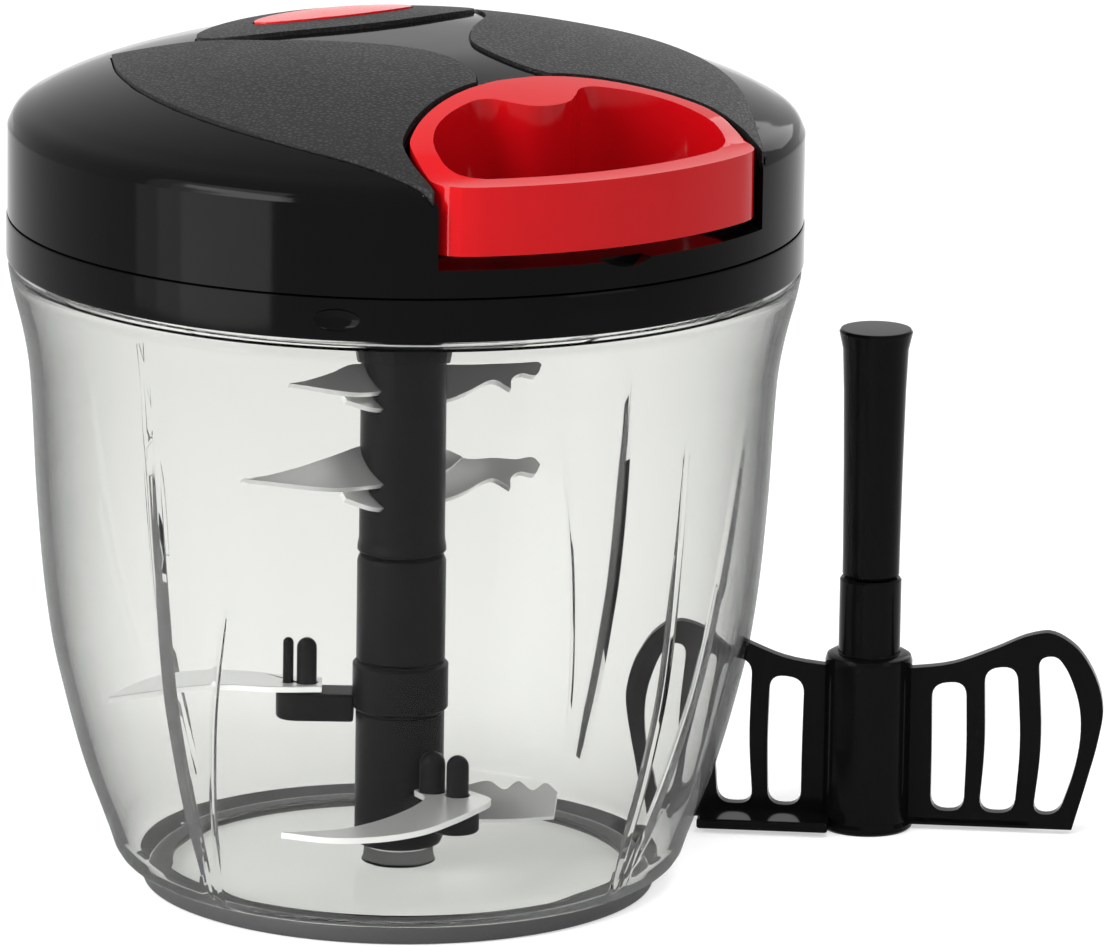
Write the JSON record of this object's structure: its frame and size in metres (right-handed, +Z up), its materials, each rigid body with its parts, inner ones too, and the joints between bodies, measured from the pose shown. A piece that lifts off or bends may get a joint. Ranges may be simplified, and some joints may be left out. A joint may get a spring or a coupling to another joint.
{
  "type": "pull-cord vegetable chopper",
  "caption": "Hand-powered vegetable chopper: clear bowl, domed black lid with a red pull handle and recoil cord, tiered blade shaft, and a slotted mixing paddle.",
  "frame": {"origin": "On the bowl's vertical axis, at the level of the table; the bowl's flat underside is 1 mm above it.", "axes": "+Z up. The handle pulls out along -Y. +X is toward the side on which the mixing paddle stands, and is the longest extent."},
  "size_m": [0.185, 0.1332, 0.1453],
  "materials": {
    "clear_plastic": "clear moulded plastic, polished, faint grey green tint",
    "foot_rubber": "dark grey non-slip rubber",
    "seal_rubber": "pale silicone",
    "gloss_black": "high gloss black moulding",
    "grained_black": "fine leather grain, matt dark grey",
    "badge_red": "gloss red inlay, blank",
    "handle_red": "gloss red moulding",
    "shaft_black": "semi-gloss black moulding",
    "paddle_black": "gloss black moulding",
    "blade_steel": "stamped stainless sheet, ground edges",
    "bright_steel": "plain steel",
    "white_nylon": "natural moulded nylon or acetal",
    "cord_braid": "braided nylon cord"
  },
  "bodies": {
    "bowl": {"bowl": "clear_plastic", "foot_ring": "foot_rubber"},
    "seal": {"lid_seal": "seal_rubber"},
    "lid": {"lid_base": "gloss_black", "lid_housing": "gloss_black", "left_panel": "grained_black", "right_panel": "grained_black", "top_cap": "grained_black", "badge": "badge_red", "cord_eyelet": "bright_steel", "cord_run": "cord_braid", "spring_case": "white_nylon", "power_spring": "bright_steel", "spindle": "bright_steel", "hub_bush": "white_nylon", "housing_screw_1": "bright_steel", "housing_screw_2": "bright_steel", "housing_screw_3": "bright_steel", "housing_screw_4": "bright_steel", "case_screw_1": "bright_steel", "case_screw_2": "bright_steel", "case_screw_3": "bright_steel"},
    "handle": {"pull_handle": "handle_red", "cord_knot": "cord_braid"},
    "spool": {"cord_spool": "white_nylon", "cord_winding": "cord_braid"},
    "drive": {"drive_hub": "shaft_black"},
    "pawl_one": {"pawl_1": "bright_steel"},
    "pawl_two": {"pawl_2": "bright_steel"},
    "blades": {"lower_hub": "shaft_black", "arm_collar": "shaft_black", "lower_shaft": "shaft_black", "upper_shaft": "shaft_black", "upper_hooked_blade": "blade_steel", "upper_toothed_blade": "blade_steel", "middle_hooked_blade": "blade_steel", "middle_toothed_blade": "blade_steel", "long_blade": "blade_steel", "crescent_blade": "blade_steel", "serrated_blade": "blade_steel"},
    "paddle": {"paddle_stem": "paddle_black", "paddle_head": "paddle_black"}
  },
  "joints": [
    {"name": "lid_lift", "type": "slide", "parent": "bowl", "child": "seal", "axis": [0, 0, 1], "range_m": [0, 0.12]},
    {"name": "lid_turn", "type": "hinge", "parent": "seal", "child": "lid", "pos_m": [0, 0, 0.11], "axis": [0, 0, 1], "range_deg": [0, 15]},
    {"name": "handle_pull", "type": "slide", "parent": "lid", "child": "handle", "axis": [0, -1, 0], "range_m": [0, 0.3], "stiffness_N_per_m": 20, "springref_m": -0.1},
    {"name": "spool_spin", "type": "hinge", "parent": "lid", "child": "spool", "pos_m": [0, 0, 0.13], "axis": [0, 0, 1], "range_deg": [-910, 0]},
    {"name": "drive_spin", "type": "hinge", "parent": "lid", "child": "drive", "pos_m": [0, 0, 0.115], "axis": [0, 0, 1], "range_deg": [-910, 0]},
    {"name": "pawl_one_swing", "type": "hinge", "parent": "drive", "child": "pawl_one", "pos_m": [-0.00049, 0.00939, 0.12], "axis": [0, 0, 1], "range_deg": [0, 11], "stiffness_Nm_per_rad": 0.002, "springref_deg": -5.73},
    {"name": "pawl_two_swing", "type": "hinge", "parent": "drive", "child": "pawl_two", "pos_m": [0.00049, -0.00939, 0.12], "axis": [0, 0, 1], "range_deg": [0, 11], "stiffness_Nm_per_rad": 0.002, "springref_deg": -5.73},
    {"name": "blade_spin", "type": "hinge", "parent": "bowl", "child": "blades", "pos_m": [0, 0, 0.05], "axis": [0, 0, 1], "range_deg": [-910, 0]},
    {"name": "paddle_aside", "type": "slide", "parent": "bowl", "child": "paddle", "axis": [0.985, -0.1725, 0], "range_m": [0, 0.15]}
  ],
  "couplings": [
    {"joint": "spool_spin", "follows": "handle_pull", "rad_per_m": -52.632},
    {"joint": "drive_spin", "follows": "handle_pull", "rad_per_m": -52.632},
    {"joint": "blade_spin", "follows": "handle_pull", "rad_per_m": -52.632}
  ]
}
